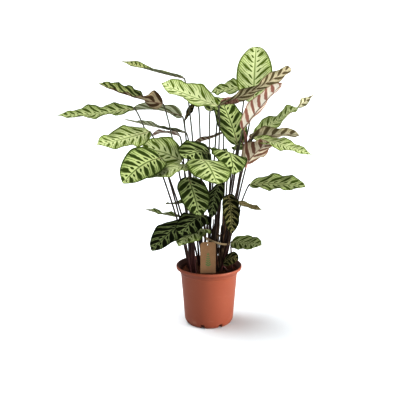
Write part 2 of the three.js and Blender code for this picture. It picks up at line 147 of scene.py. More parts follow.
# Leaves. Base, tip, width, arch, roll, fold, waves, ripple and phase are as in the solids. Curl rolls
# the margins up, and point draws the tip out, or rounds it where it is below 0. Tone goes from 0
# for a light young blade to 1 for a deep old one, and is partly painted shade: blades that lie in
# the canopy's shade are given deeper colours. The last named column is painted light and shade: it
# makes a blade lighter all over, or darker below 0. What only some leaves have stands last, under
# its name: bend and twist are as in the solids, start and end roll the blade at its base and tip,
# brown and pink colour the underside, and dry browns the upper.
COLUMNS = ("name", "shoot", "base", "tip", "width", "arch", "roll", "fold", "waves", "ripple",
           "phase", "curl", "point", "tone", "painted_light_gain")
PLAIN = dict(bend=0, twist=0, start=0, end=0, brown=0, pink=0, dry=0)
LEAVES = [SimpleNamespace(**(PLAIN | dict(zip(COLUMNS, row)) | dict(*row[len(COLUMNS):]))) for row in (
    ("top_1", "right_back", (137, 45, 703), (150, 135, 873),
     114, 8, 0, 4, 2, 4, 0.1, 0, -0.3, 0.12, 0.06),
    ("top_2", "middle_front", (33, -20, 704), (236, -60, 816),
     88, -9, 20, -10, 2.5, 6, 0.2, 0.3, -0.45, 0.1, 0, dict(twist=8, end=8, brown=0.65)),
    ("top_3", "back", (-79, 42, 779), (-275, 90, 829),
     46, -3, 0, 4, 2, 3, 0.6, 0.5, 0.3, 0.35, 0.02, dict(start=-30, end=34, dry=0.3)),
    ("top_4", "middle_front", (25, -36, 700), (-146, -10, 766),
     112, -3, 26, 4, 2, 7, 0.3, 0.4, 0, 0.06, 0),
    ("top_5", "right_back", (112, 120, 746), (2, 150, 726),
     88, 4, 27, 0, 2, 7, 0.4, 0.3, 1.1, 0.3, 0),
    ("top_6", "back", (-34, 62, 688), (-93, 122, 738), 70, 10, 0, 4, 2, 4, 0.1, 0, 0, 0.25, 0),
    ("top_7", "middle_back", (3, 75, 674), (50, 165, 708), 76, 12, 0, 4, 2, 4, 0.7, 0, 0, 0.6, 0),
    ("left_1", "left_back", (-143, -5, 704), (-331, -50, 768),
     98, -6, 12, 4, 5, 4, 0.5, 0.55, 0.1, 0.55, -0.14, dict(twist=10, start=-90, brown=1, dry=0.25)),
    ("left_2", "left_back", (-233, 20, 688), (-466, -20, 670),
     77, -6, 22, 0, 3, 7, 0.35, 0.5, 0.5, 0.35, 0, dict(start=8)),
    ("left_3", "left_back", (-85, 40, 662), (-270, 110, 668),
     88, 15, -14, 0, 2, 5, 0.3, 0.5, 0.2, 0.05, 0.2, dict(twist=20, start=-30)),
    ("left_4", "back", (-74, 62, 607), (-279, 110, 646),
     54, -2, -17, 0, 2, 4.5, 0.3, 0.5, 0.4, 0, 0),
    ("left_5", "left_back", (-94, 55, 598), (-186, 45, 597),
     66, 12, -14, 0, 1.5, 5, 0.3, 0.3, 0.2, 0.5, -0.15, dict(pink=1)),
    ("left_6", "left_back", (-186, 15, 617), (-332, -115, 594),
     92, -3, 30, 4, 2, 8, 0.31, 0, 0.1, 0.16, 0, dict(twist=-24)),
    ("left_7", "left_front", (-144, -95, 550), (-241, -265, 508),
     108, 16, 40, 18, 1.5, 5, 0.2, 0, -0.15, 0.5, -0.08),
    ("left_8", "left_front", (-85, -36, 531), (-208, -38, 568),
     112, 10, 44, 8, 2, 6, 0.2, 0, -0.15, 0.22, 0.16),
    ("left_9", "left_front", (-62, -90, 529), (-180, -185, 508),
     80, 4, 6, 0, 2, 6, 0.6, 0, -0.2, 0.02, 0.12),
    ("left_10", "back", (-78, 100, 644), (-31, 172, 712),
     20, 6, -75, 4, 2, 4, 0.3, 0.3, 0, 1, 0, dict(brown=0.3, pink=0.15, dry=1)),
    ("front_1", "middle_front", (2, -28, 553), (-78, -140, 558),
     110, 12, 26, 0, 2, 6, 0.2, 0, -0.15, 0.75, 0.2, dict(twist=-24, start=25)),
    ("front_2", "middle_front", (-26, -125, 553), (17, -305, 514),
     129, 14, 4, -4, 2, 5, 0.1, 0, -0.15, 0.38, 0),
    ("front_3", "right_front", (50, -34, 560), (69, -155, 512),
     112, 26, 17, -4, 2, 5, 0.6, 0, -0.1, 0.58, 0),
    ("front_4", "left_front", (-64, -70, 488), (-30, -180, 395),
     96, 8, 0, 6, 1.5, 5, 0.3, 0, -0.2, 0.75, 0, dict(bend=2)),
    ("front_5", "middle_front", (32, -50, 467), (6, -118, 376),
     64, 16, -22, 0, 1.5, 4, 0.3, 0, -0.1, 0.95, 0.4),
    ("front_6", "right_front", (58, -55, 430), (66, -128, 328),
     57, 20, 0, 6, 4, 9, 0.3, 0.6, -0.1, 0.9, 0.12, dict(brown=0.8, dry=0.8)),
    ("front_7", "middle_back", (42, 32, 611), (-52, 0, 584),
     38, -4, -26, 0, 1.5, 2.5, 0.3, 0.6, 0.2, 0.8, -0.25,
     dict(twist=-24, brown=0.7, pink=0.3, dry=0.6)),
    ("middle_1", "right_front", (86, -40, 582), (33, 60, 717),
     102, 8, 0, 6, 2, 3, 0.2, 0, -0.4, 0.55, 0.02),
    ("back_1", "right_back", (58, 70, 544), (-8, 140, 543),
     66, 4, -10, 0, 2, 6, 0.3, 0, 0, 0.5, 0, dict(brown=0.2)),
    ("back_2", "right_back", (82, 88, 548), (148, 160, 547), 64, 10, 0, 0, 2, 6, 0.3, 0, 0, 0.4, 0),
    ("right_1", "right_front", (100, -58, 632), (207, -130, 773),
     76, 4, 15, 24, 2, 4, 0.2, 0, -0.2, 0.1, 0, dict(pink=1)),
    ("right_2", "right_back", (140, 30, 607), (334, 85, 727),
     68, -5, -11, 0, 2.5, 9, 0.8, 0.4, 0.9, 0.18, 0.08, dict(twist=10, start=-30, end=92, brown=0.3)),
    ("right_3", "right_back", (129, 10, 594), (266, -70, 618),
     96, 6, 24, 0, 2, 5, 0.2, 0.4, -0.3, 0.2, 0.4, dict(twist=10, brown=0.6)),
    ("right_4", "right_front", (133, -60, 608), (306, -165, 568),
     60, 2, -20, 0, 3, 5, 0.1, 0.3, 1.3, 0.16, 0.28),
    ("right_5", "right_front", (115, -40, 524), (178, -98, 597),
     84, 8, 32, 6, 2, 6, 0.1, 0.4, 0, 0.3, 0, dict(brown=1, pink=0.4)),
    ("right_6", "right_back", (128, 0, 453), (292, -65, 458),
     100, 5, -18, 0, 3, 5, 0.3, 0.3, -0.1, 0.36, 0.5),
    ("low_1", "right_back", (90, -10, 400), (161, -80, 390),
     29, -4, -14, 0, 1.5, 3, 0.3, 0.4, 0.8, 0, 0, dict(brown=0.4, dry=0.9)),
    ("low_2", "back", (-79, 42, 337), (-210, 30, 368),
     56, -5, -5, 0, 2.5, 5, 0.3, 0.4, 0.2, 0.4, 0),
    ("low_3", "back", (-67, 50, 380), (-143, 120, 361), 46, 3, 0, 0, 1.5, 4, 0.3, 0.3, 0.2, 0.7, 0),
    ("low_4", "left_front", (-76, -60, 350), (-172, -160, 284),
     94, 9, 10, 4, 1.5, 5, 0.3, 0, -0.1, 1, 0.2, dict(bend=-5)),
    ("low_5", "middle_front", (-11, -60, 367), (-86, -168, 332),
     94, 14, 10, 0, 2, 6, 0.3, 0, -0.1, 1, 0.3),
    ("low_6", "middle_front", (-6, -55, 322), (-92, -165, 299),
     84, 12, 0, 0, 2, 6, 0.6, 0, 0, 0.25, 0.5),
    ("low_7", "right_edge", (72, -8, 268), (159, -95, 282),
     68, 0, -26, 0, 3, 3, 0.3, 0.2, 0, 0.3, 0.45, dict(start=-22)),
    ("low_8", "right_edge", (44, -42, 203), (90, -66, 227),
     54, 12, -42, -6, 1.5, 4, 0.3, 0, -0.1, 0.85, 0.2, dict(dry=0.9)),
)]
DEEP = {"front_4", "front_5", "front_6", "right_6"} | {"low_%d" % number for number in range(1, 9)}


# Small helpers for numbers, places and selections.

def vec(place):
    return Vector(place) * MM


def lerp(start, end, share):
    return start + (end - start) * share


def clamp(value, low=0.0, high=1.0):
    return max(low, min(high, value))


def smooth(low, high, value):
    share = clamp((value - low) / (high - low))
    return share * share * (3 - 2 * share)


def srgb(*levels):
    """The colour of a surface that looks like these levels, 0 to 255, in the studio's light."""
    def linear(level):
        level /= 255
        level = level / 12.92 if level <= 0.04045 else ((level + 0.055) / 1.055) ** 2.4
        return min(level ** VIEW_GAMMA / 2 ** VIEW_EXPOSURE / STUDIO_LIGHT, 1.0)
    return (*map(linear, levels), 1.0)


def shares(count):
    """Shares from 0 to 1, with both ends."""
    return [index / count for index in range(count + 1)]


def pick(*pieces):
    """Selects only these objects and makes the first the active one."""
    ops.object.select_all(action="DESELECT")
    for piece in pieces:
        piece.select_set(True)
        bpy.context.view_layer.objects.active = pieces[0]


def added(name):
    """The newest object, under its own name."""
    piece = bpy.context.active_object
    piece.name = name
    piece.data.name = name
    return piece


def primitive(operator, name, **settings):
    pick()
    operator(**settings)
    return added(name)


def grid(name, columns, rows):
    return primitive(ops.mesh.primitive_grid_add, name, x_subdivisions=columns,
                     y_subdivisions=rows, size=2)


def mode(name):
    ops.object.mode_set(mode=name)


def edit_mesh(piece, operator, **settings):
    pick(piece)
    mode("EDIT")
    ops.mesh.select_all(action="SELECT")
    operator(**settings)
    mode("OBJECT")


def linked(name, data):
    piece = bpy.data.objects.new(name, data)
    bpy.context.collection.objects.link(piece)
    return piece


def apply_modifier(piece, kind, **settings):
    pick(piece)
    modifier = piece.modifiers.new(kind.lower(), kind)
    for key, value in settings.items():
        setattr(modifier, key, value)
    ops.object.modifier_apply(modifier=modifier.name)


def cut(piece, tool):
    apply_modifier(piece, "BOOLEAN", object=tool, operation="DIFFERENCE", solver="EXACT")
    bpy.data.objects.remove(tool)


def settle(piece):
    """Puts the object's place into its mesh."""
    pick(piece)
    ops.object.transform_apply(location=True, rotation=True, scale=True)


def join(pieces, name):
    pick(*pieces)
    if len(pieces) > 1:
        ops.object.join()
    return added(name)


def paint(piece, *finishes):
    piece.data.materials.clear()
    for finish in finishes:
        piece.data.materials.append(finish)


def dress(piece, slot, degrees, *nodes):
    """Shades the piece smooth up to an angle, lets it ride on the part and hides the model's parts
    that it stands for. The slot is not used.
    """
    if degrees:
        pick(piece)
        ops.object.shade_smooth_by_angle(angle=radians(degrees))
    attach(piece, "root")
    if nodes:
        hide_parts(*nodes)


# Materials. A Value wraps a socket, and sums on values add their Math nodes.

def maths(operation, swap=False):
    """A method of Value that adds one Math node."""
    def method(value, *others):
        node = value.tree.nodes.new("ShaderNodeMath")
        node.operation = operation
        terms = [*others, value] if swap else [value, *others]
        for index, term in enumerate(terms):
            if isinstance(term, Value):
                value.tree.links.new(term.socket, node.inputs[index])
            else:
                node.inputs[index].default_value = term
        return Value(value.tree, node.outputs[0])
    return method


class Value:
    def __init__(self, tree, socket):
        self.tree = tree
        self.socket = socket

    __add__ = __radd__ = maths("ADD")
    __sub__ = maths("SUBTRACT")
    __rsub__ = maths("SUBTRACT", swap=True)
    __mul__ = __rmul__ = maths("MULTIPLY")
    __truediv__ = maths("DIVIDE")
    __pow__ = maths("POWER")
    __abs__ = maths("ABSOLUTE")
    fraction = maths("FRACT")
    floor = maths("FLOOR")
    cosine = maths("COSINE")
    most = maths("MAXIMUM")
    least = maths("MINIMUM")
    over = maths("GREATER_THAN")


class Nodes:
    """A node tree whose nodes are added one by one."""

    def __init__(self, tree):
        self.tree = tree

    def node(self, kind, settings=None, inputs=None, output=0):
        node = self.tree.nodes.new("ShaderNode" + kind)
        for key, value in (settings or {}).items():
            setattr(node, key, value)
        for key, value in (inputs or {}).items():
            if isinstance(value, Value):
                self.tree.links.new(value.socket, node.inputs[key])
            else:
                node.inputs[key].default_value = value
        return Value(self.tree, node.outputs[output])

    def split(self, vector):
        return [self.node("SeparateXYZ", inputs={"Vector": vector}, output=axis) for axis in "XYZ"]

    def joined(self, x=0.0, y=0.0, z=0.0):
        return self.node("CombineXYZ", inputs={"X": x, "Y": y, "Z": z})

    def step(self, value, low, high):
        """0 at low, 1 at high, smooth between. High may be the lower one."""
        return self.node("MapRange", {"interpolation_type": "SMOOTHSTEP"},
                         {"Value": value, "From Min": low, "From Max": high})


class Finish(Nodes):
    """A material of one Principled shader."""

    def __init__(self, name, specular, constants=None):
        self.material = bpy.data.materials.new(name)
        self.material.use_nodes = True
        super().__init__(self.material.node_tree)
        self.shader = self.tree.nodes["Principled BSDF"]
        for key, value in {"Specular IOR Level": specular, **(constants or {})}.items():
            self.shader.inputs[key].default_value = value

    def place(self):
        return self.node("TexCoord", output="Object")

    def attribute(self, name):
        return self.split(self.node("Attribute", {"attribute_name": name}, output="Vector"))

    def noise(self, vector, scale, detail=3.0, roughness=0.5):
        return self.node("TexNoise", inputs={"Vector": vector, "Scale": scale, "Detail": detail,
                                             "Roughness": roughness})

    def cloud(self, scale, detail=3.0, roughness=0.5):
        """Noise over the object's own place, alike in all directions."""
        return self.noise(self.place(), scale, detail, roughness)

    def fibre(self, level, upright, detail, roughness=0.5):
        """The same with scales for the level axes and the upright one."""
        scales = (level, level, upright)
        vector = self.node("Mapping", inputs={"Vector": self.place(), "Scale": scales})
        return self.noise(vector, 1.0, detail, roughness)

    def chance(self, vector):
        return self.node("TexWhiteNoise", {"noise_dimensions": "3D"}, {"Vector": vector})

    def mix(self, share, first, second, blend="MIX"):
        settings = {"data_type": "RGBA", "blend_type": blend}
        return self.node("Mix", settings, {0: share, 6: first, 7: second}, output=2)

    def layered(self, colour, *layers):
        """The colour under layers of (mask, colour), the last one on top."""
        for mask, layer in layers:
            colour = self.mix(mask, colour, layer)
        return colour

    def brighter(self, colour, gain):
        times = gain + 1.0
        return self.mix(1.0, colour, self.joined(times, times, times), "MULTIPLY")

    def ramp(self, share, first, second, third):
        """A colour that passes the second one halfway from the first to the third."""
        half = self.mix((share * 2.0).least(1.0), first, second)
        return self.mix((share * 2.0 - 1.0).most(0.0), half, third)

    def feed(self, links):
        for key, value in links.items():
            self.tree.links.new(value.socket, self.shader.inputs[key])
        return self.material

    def done(self, colour, roughness, height, strength, depth):
        """The material with its colour, its roughness and a relief as deep as depth, in metres."""
        relief = {"Height": height, "Strength": strength, "Distance": depth}
        return self.feed({"Base Color": colour, "Roughness": roughness,
                          "Normal": self.node("Bump", inputs=relief)})


# Leaf finishes. Attribute vein holds the place along the row of veins, the share of the way from
# the midrib to the margin, and the same with its side. Attribute leaf holds tone, which is partly
# painted shade, dry and a seed, and attribute under holds brown, pink and a gain of painted light
# and shade.

LEAF_SPECULAR = 0.02
LEAF_RELIEF = (0.35, 0.0006)
WITHERED = (0.86, 0.64, 0.62, 1.0)


def leaf_marks(finish, under):
    """Masks of the large and small ovals, the streaks near the margin and the fine veins."""
    along, out, side = finish.attribute("vein")
    tone, dry, seed = finish.attribute("leaf")
    brown, pink, painted_light_gain = finish.attribute("under")
    right = side.over(0.0)
    place = finish.joined(along, side * 2.0, seed)
    drift = finish.noise(place, 0.9, 2.0) - 0.5
    rough = finish.noise(place, 4.0) - 0.5
    # The large ovals of one side are counted in a row, and each has a number of its own.
    row = along + right * 0.5 + seed + drift * 0.45 + rough * 0.08
    own = finish.chance(finish.joined(row.floor(), right, seed))
    phase = row.fraction() - 0.5
    if under:
        soft = 0.22
        thick = 0.19 + brown * 0.05 + own * 0.05
        beyond = (out + rough * 0.05 - 0.52) / (0.5 + own * 0.06)
        beyond = beyond * beyond
    else:
        soft = 0.12
        thick = 0.15 + tone * 0.17 - own * 0.03
        beyond = (out + rough * 0.06 - 0.48 - tone * 0.1) / (0.32 + tone * 0.18 + own * 0.18)
    large = finish.step(abs(phase) / thick + beyond * beyond, 1.0 + soft, 1.0 - soft)
    # The small ovals lie between the large ones, close to the midrib.
    half_row = (row + 0.5).fraction() - 0.5
    small_out = (out - 0.2 - own * 0.06) / (0.1 + own * 0.08)
    small = finish.step(abs(half_row) / (0.09 + tone * 0.06) + small_out * small_out, 1.1, 0.85)
    # Four streaks and eleven hair lines for each large oval, and a tail from it to the margin.
    lines = ((row * 4.0 * tau + rough * 2.5).cosine() * 0.5 + 0.5) ** 2.0
    lines = lines * finish.step(out + drift * 0.8 + rough * 0.3, 0.1, 0.65)
    hair = (row * 11.0 * tau + rough * 6.0).cosine() * 0.5 + 0.5
    tail = finish.step(abs(phase + rough * 0.1), 0.12, 0.03) * finish.step(out, 0.5, 0.75)
    margin = finish.step(out + rough * 0.02, 0.88, 0.94)
    rib = finish.step(out, 0.06, 0.02)
    return SimpleNamespace(large=large, small=small, lines=lines.most(tail), hair=hair, rib=rib,
                           margin=margin, out=out, tone=tone, dry=dry, brown=brown, pink=pink,
                           painted_light_gain=painted_light_gain, rough=rough, drift=drift)


def leaf_top_finish():
    finish = Finish("leaf_upper_side", LEAF_SPECULAR)
    marks = leaf_marks(finish, False)
    tone = marks.tone
    # The deep end of each ramp is partly painted shade, for blades that lie in the canopy's shade.
    ground = finish.ramp(tone, srgb(228, 238, 178), srgb(190, 205, 132), srgb(118, 132, 80))
    outer = finish.ramp(tone, srgb(186, 204, 112), srgb(118, 140, 60), srgb(44, 58, 20))
    oval = finish.ramp(tone, srgb(76, 94, 20), srgb(34, 48, 8), srgb(5, 7, 1))
    streak = finish.ramp(tone, srgb(116, 138, 58), srgb(60, 78, 26), srgb(18, 26, 6))
    colour = finish.layered(
        ground,
        (finish.step(marks.out + marks.drift * 0.5, 0.45, 1.1) * 0.7, outer),
        (marks.hair * 0.15, streak),
        (marks.lines * 0.95, streak),
        (marks.large.most(marks.small), finish.mix(marks.hair * 0.3, oval, streak)),
        (marks.margin * 0.85, oval),
        (marks.rib * 0.8, streak),
    )
    colour = finish.mix(marks.dry, colour, finish.mix(1.0, colour, WITHERED, "MULTIPLY"))
    height = marks.hair * 0.4 + marks.rib * -1.0 + marks.rough * 0.6
    # Painted light and shade: each blade's colour is scaled by its own gain, lighter above 0 and
    # darker below.
    return finish.done(finish.brighter(colour, marks.painted_light_gain),
                       0.7 + marks.rough * 0.2 - marks.large * 0.06, height, *LEAF_RELIEF)


def leaf_under_finish():
    """Pale grey-green, tan and brown, or cream and maroon, as the blade is plain, brown or pink."""
    finish = Finish("leaf_underside", LEAF_SPECULAR)
    marks = leaf_marks(finish, True)

    def kind(plain, dry, rosy):
        return finish.mix(marks.pink, finish.mix(marks.brown, plain, dry), rosy)

    # The deeper plain colours are partly painted shade, for blades that lie in the canopy's shade.
    plain_ground = finish.mix(marks.tone, srgb(236, 240, 202), srgb(176, 182, 130))
    plain_oval = finish.mix(marks.tone, srgb(100, 104, 62), srgb(30, 25, 12))
    ground = kind(plain_ground, srgb(236, 214, 172), srgb(248, 242, 224))
    outer = kind(plain_ground, srgb(204, 178, 134), srgb(236, 226, 200))
    oval = kind(plain_oval, srgb(72, 44, 24), srgb(142, 82, 66))
    streak = kind(plain_oval, srgb(112, 80, 50), srgb(208, 178, 156))
    colour = finish.layered(
        ground,
        (finish.step(marks.out + marks.drift * 0.5, 0.3, 1.0) * 0.8, outer),
        (marks.hair * 0.2, streak),
        (marks.lines * 0.55, streak),
        (marks.large * 0.92, oval),
        (marks.margin * 0.6, oval),
    )
    height = marks.hair * -0.5 + marks.rough * 0.6
    # Painted light and shade: each blade's colour is scaled by its own gain, lighter above 0 and
    # darker below.
    return finish.done(finish.brighter(colour, marks.painted_light_gain), 0.72 + marks.rough * 0.2, height,
                       *LEAF_RELIEF)


def rib_finish():
    finish = Finish("leaf_midrib", 0.4)
    speckle = finish.cloud(300.0)
    colour = finish.mix(speckle, srgb(150, 108, 78), srgb(96, 60, 44))
    return finish.feed({"Base Color": colour, "Roughness": 0.45 + speckle * 0.2})


def petiole_finish():
    """Purple-red sheaths at the foot, nearly black above them, grey-green under the blades."""
    red_ends, green_starts = (0.2, 0.29), (0.44, 0.62)
    finish = Finish("petiole", 0.25)
    streaks = finish.fibre(400.0, 18.0, 4.0)
    level = finish.split(finish.place())[2] + (finish.cloud(14.0, 2.0) - 0.5) * 0.06
    foot = finish.mix(streaks, srgb(92, 34, 32), srgb(36, 14, 12))
    stalk = finish.mix(streaks, srgb(54, 36, 26), srgb(20, 12, 8))
    upper = finish.mix(streaks, srgb(104, 102, 80), srgb(48, 44, 34))
    colour = finish.layered(foot, (finish.step(level, *red_ends), stalk),
                            (finish.step(level, *green_starts), upper))
    return finish.done(colour, 0.42 + streaks * 0.25, streaks, 0.4, 0.0005)


def sheath_finish():
    """Dark brown with paler patches near the soil, and rosy on the old sheaths high up."""
    rosy_starts = (0.46, 0.5)
    finish = Finish("dry_sheath", 0.15)
    fibre = finish.fibre(260.0, 14.0, 5.0, 0.6)
    low = finish.mix(finish.step(fibre, 0.4, 0.62), srgb(30, 16, 10), srgb(84, 58, 38))
    low = finish.mix(finish.step(finish.cloud(40.0), 0.58, 0.7) * 0.6, low, srgb(136, 112, 78))
    rosy = finish.mix(finish.step(fibre, 0.38, 0.6), srgb(84, 40, 34), srgb(186, 140, 120))
    colour = finish.mix(finish.step(finish.split(finish.place())[2], *rosy_starts), low, rosy)
    return finish.done(colour, 0.75 + fibre * 0.15, fibre, 0.6, 0.0008)


def pot_finish():
    """Terracotta-coloured plastic, with painted shade under the lip and on the inner wall above the
    soil, and dust near the foot.
    """
    finish = Finish("pot_plastic", 0.42, {"Coat Weight": 0.06, "Coat Roughness": 0.4})
    lip, rim, wall = (POT_HEIGHT - LIP_HEIGHT) * MM, RIM_RADIUS * MM, WALL_TOP_RADIUS * MM
    soil = (SOIL_TOP - 2) * MM
    x, y, height = finish.split(finish.place())
    radius = (x * x + y * y) ** 0.5
    cloud = finish.cloud(9.0, 4.0)
    grain = finish.cloud(900.0, 2.0)
    under_lip = finish.step(height, lip + 0.0005, lip - 0.0005)
    # Painted shade: the band just under the lip is darkened, as if in the lip's shadow.
    painted_lip_shade = finish.step(height + cloud * 0.004, lip - 0.015, lip) * under_lip
    # Painted shade: the inner wall above the soil is darkened, as if in shadow, up to a thin light
    # ring at the rim.
    inside = finish.step(radius + cloud * 0.001, rim - 0.001, rim - 0.0025)
    inside = inside * finish.step(height, soil - 0.0005, soil + 0.0005)
    outside = finish.step(radius, wall + 0.001, wall + 0.0016) * under_lip
    dust = finish.step(finish.fibre(26.0, 60.0, 5.0), 0.55, 0.8)
    low = finish.step(height, 0.05, 0.0)
    colour = finish.layered(
        finish.mix(cloud, srgb(161, 71, 39), srgb(144, 59, 33)),
        (painted_lip_shade * 0.45, srgb(110, 44, 28)),
        (inside * (1.0 - outside) * 0.85, srgb(70, 34, 24)),
        (dust * (low * 0.35 + 0.08), srgb(214, 150, 118)),
    )
    return finish.done(colour, 0.42 + cloud * 0.12 + grain * 0.08, grain * 0.5 + cloud, 0.12, 0.0006)


def soil_finish():
    finish = Finish("potting_soil", 0.1)
    lump = finish.cloud(110.0, 6.0, 0.65)
    speck = finish.cloud(420.0, 4.0, 0.7)
    colour = finish.mix(lump, srgb(34, 15, 6), srgb(140, 70, 42))
    colour = finish.mix(finish.step(speck, 0.6, 0.7) * 0.6, colour, srgb(170, 116, 86))
    return finish.done(colour, 0.8 + speck * 0.15, lump + speck * 0.6, 0.9, 0.0016)


def card_finish():
    finish = Finish("kraft_card", 0.2)
    fibre = finish.fibre(900.0, 160.0, 5.0, 0.6)
    colour = finish.layered(
        finish.mix(finish.cloud(60.0), srgb(142, 104, 71), srgb(124, 88, 58)),
        (finish.step(fibre, 0.58, 0.72) * 0.45, srgb(106, 76, 48)),
        (finish.step(fibre, 0.42, 0.3) * 0.35, srgb(190, 156, 116)),
    )
    return finish.done(colour, 0.82 + fibre * 0.1, fibre, 0.3, 0.0003)


def ink_finish():
    finish = Finish("green_ink", 0.2)
    wear = finish.cloud(700.0)
    colour = finish.mix(wear, srgb(62, 92, 48), srgb(92, 118, 66))
    return finish.feed({"Base Color": colour, "Roughness": 0.75 + wear * 0.1})


def jute_finish():
    finish = Finish("jute_cord", 0.15)
    fibre = finish.cloud(900.0, 4.0, 0.6)
    colour = finish.mix(fibre, srgb(140, 112, 74), srgb(224, 200, 156))
    colour = finish.mix(finish.cloud(90.0, 2.0) * 0.4, colour, srgb(120, 92, 60))
    return finish.done(colour, 0.9 - fibre * 0.1, fibre, 0.6, 0.0004)


# Blades. The surface is the one of the solids, with a finer ripple and the swelling between veins.
# Lengths are in millimetres, and places along and across a blade are shares of its size.

UP = Vector((0, 0, 1))
START_ROLL_ENDS = 0.4
END_ROLL = (0.58, 0.88)
OVAL_SPACING = 0.33
SPACING_LIMITS = (15, 42)
VEIN_LEAN = 0.8
VEIN_CURVE = 0.35
SWELLING = 0.7
ROWS_CLOSER = 0.075
SEED_STEP = 0.37
RIB_ENDS = 0.96
RIB_RADII = (1.5, 0.35)
RIB_SINK = 0.7


def blade_outline(along, point):
    """Share of the half width. A point below 0 rounds the tip and one above 0 draws it out."""
    rounded = max(sin(pi * along ** 0.9), 0.0)
    near_tip = smooth(0.88 - 0.35 * max(point, 0.0), 1, along)
    return rounded ** (0.55 + 0.25 * min(point, 0) + (0.3 + point) * near_tip)


class BladeShape:
    def __init__(self, leaf):
        self.leaf = leaf
        self.base = Vector(leaf.base)
        self.chord = Vector(leaf.tip) - self.base
        ahead = self.chord.normalized()
        self.up = (UP - ahead * UP.dot(ahead)).normalized()
        self.bow = self.up * 4 * leaf.arch + ahead.cross(self.up) * 4 * leaf.bend
        spacing = OVAL_SPACING * leaf.width * (1 + 0.2 * leaf.pink)
        self.spacing = clamp(spacing, *SPACING_LIMITS)

    def midrib(self, along):
        return self.base + self.chord * along + self.bow * along * (1 - along)

    def heading(self, along):
        return (self.chord + self.bow * (1 - 2 * along)).normalized()

    def axes(self, along):
        """Directions to the right-hand margin and out of the upper side, at a place along."""
        forward = self.heading(along)
        normal = (self.up - forward * self.up.dot(forward)).normalized()
        right = forward.cross(normal)
        start = self.leaf.start * (1 - smooth(0, START_ROLL_ENDS, along))
        end = self.leaf.end * smooth(*END_ROLL, along)
        roll = radians(self.leaf.roll + self.leaf.twist * (along - 0.5) + start + end)
        return (right * cos(roll) + normal * sin(roll),
                normal * cos(roll) - right * sin(roll))

    def half(self, along):
        stalk = lerp(BLADE_STALK, BLADE_TIP, along)
        return stalk + (self.leaf.width / 2 - stalk) * blade_outline(along, self.leaf.point)

    def vein(self, along, across):
        """Place in the row of veins, counted in large ovals: veins lean towards the tip."""
        out = abs(across) * self.half(along)
        lean = VEIN_LEAN * out + VEIN_CURVE * out * out / self.leaf.width
        return (along * self.chord.length - lean) / self.spacing

    def point(self, along, across):
        """Place on the blade, with across from -1 at the left-hand margin to 1 at the right."""
        leaf = self.leaf
        lateral, lift = self.axes(along)
        edge = abs(across)
        half = self.half(along)
        curl = leaf.curl * edge / 2
        angle = radians(leaf.fold) + curl
        chord = sin(curl) / curl if curl else 1
        turn = tau * (leaf.waves * along + leaf.phase)
        wave = leaf.ripple * edge ** 1.6 * sin(turn + 1.2 * across)
        frill = 0.22 * leaf.ripple * edge ** 4 * sin(2.7 * turn + 2.3 * across + leaf.phase)
        swelling = SWELLING * edge * (1 - edge) * 4 * cos(2 * tau * self.vein(along, across))
        inner = sin(pi * clamp(along)) ** 0.7
        rise = half * edge * chord * sin(angle) + inner * (wave + frill + swelling)
        return self.midrib(along) + lateral * (half * across * chord * cos(angle)) + lift * rise


def row_place(share):
    """Rows lie closer together towards the base and the tip."""
    return share - ROWS_CLOSER * sin(tau * share)


def tubes(name, runs, fineness):
    """Round tubes, each along a run of (place, radius) in millimetres, as one mesh."""
    curve = bpy.data.curves.new(name, "CURVE")
    curve.dimensions = "3D"
    curve.bevel_depth = MM
    curve.bevel_resolution = fineness
    curve.use_fill_caps = True
    for run in runs:
        spline = curve.splines.new("POLY")
        spline.points.add(len(run) - 1)
        for point, (place, radius) in zip(spline.points, run):
            point.co = (*vec(place), 1)
            point.radius = radius
    pick(linked(name, curve))
    ops.object.convert(target="MESH")
    return added(name)


def make_blade(leaf, number, finishes):
    piece = grid("blade_" + leaf.name, BLADE_COLUMNS, BLADE_ROWS)
    shape = BladeShape(leaf)
    names = ("vein", "leaf", "under")
    for name in names:
        piece.data.attributes.new(name, "FLOAT_VECTOR", "POINT")
    layers = [piece.data.attributes[name].data for name in names]
    for vertex, vein, look, low in zip(piece.data.vertices, *layers):
        across = vertex.co.x
        along = row_place((vertex.co.y + 1) / 2)
        vertex.co = shape.point(along, across) * MM
        vein.vector = (shape.vein(along, across), abs(across), across)
        look.vector = (leaf.tone, leaf.dry, SEED_STEP * number)
        low.vector = (leaf.brown, leaf.pink, leaf.painted_light_gain)
    paint(piece, *finishes)
    apply_modifier(piece, "SOLIDIFY", thickness=BLADE_THICKNESS * MM, offset=0.0, material_offset=1,
                   material_offset_rim=0)
    run = []
    for share in shares(RIB_POINTS):
        along = RIB_ENDS * share
        sink = shape.axes(along)[1] * -RIB_SINK
        run.append((shape.midrib(along) + sink, lerp(*RIB_RADII, along)))
    start = run[0][0] - shape.heading(0) * 3 * SEAT
    rib = tubes("rib", [[(start, BLADE_STALK)] + run], 1)
    paint(rib, finishes[2])
    piece = join([piece, rib], "blade_" + leaf.name)
    dress(piece, "leaf_deep" if leaf.name in DEEP else "leaf_pale", 60, "leaf_" + leaf.name)


leaf_finishes = (leaf_top_finish(), leaf_under_finish(), rib_finish())
for number, leaf in enumerate(LEAVES):
    make_blade(leaf, number, leaf_finishes)


# Petioles, with their sheaths and the foot of each shoot.

SPIRAL_TURN = 2.4
SHEATH_SHARE = 0.15


def bezier(first, second, third, fourth, share):
    rest = 1 - share
    return (first * rest ** 3 + second * 3 * rest * rest * share + third * 3 * rest * share * share
            + fourth * share ** 3)


def stem_radius(share):
    if share < STEM_WAIST_AT:
        return lerp(STEM_FOOT, STEM_WAIST, share / STEM_WAIST_AT)
    slim = lerp(STEM_WAIST, STEM_TOP, clamp((share - STEM_WAIST_AT) / (STEM_TOP_AT - STEM_WAIST_AT)))
    return lerp(slim, PULVINUS, smooth(0.92, 0.95, share) * smooth(1.02, 0.985, share))


